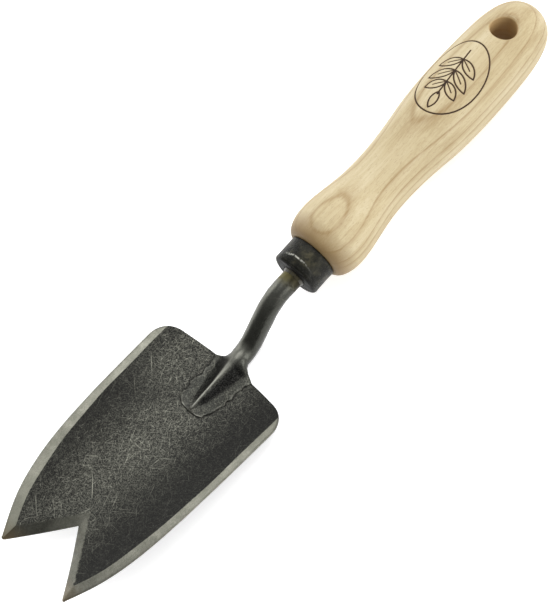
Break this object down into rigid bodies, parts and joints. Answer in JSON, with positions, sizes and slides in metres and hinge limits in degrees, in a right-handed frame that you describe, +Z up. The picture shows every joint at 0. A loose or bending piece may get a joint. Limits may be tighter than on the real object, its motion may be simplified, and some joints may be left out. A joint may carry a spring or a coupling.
{
  "type": "hand transplanter",
  "caption": "Garden hand transplanter: dished steel blade with a V notch between two points, cranked neck, steel ferrule and turned ash handle with a hanging hole.",
  "frame": {"origin": "middle of the footprint on the flat that the tool lies on", "axes": "+X along the tool from the butt to the blade's points, +Z up, on the blade's hollow side"},
  "size_m": [0.2998, 0.0656, 0.0357],
  "materials": {
    "blade_steel": "black forge scale, finely scratched, with bright ground edges",
    "neck_steel": "satin black forge scale",
    "ferrule_steel": "blackened steel, worn bright along the front lip",
    "ash": "sanded and lightly waxed",
    "adhesive": "cured amber resin"
  },
  "bodies": {
    "root": {"blade": "blade_steel", "neck": "neck_steel", "ferrule": "ferrule_steel", "handle": "ash", "tang_adhesive": "adhesive"}
  },
  "joints": []
}
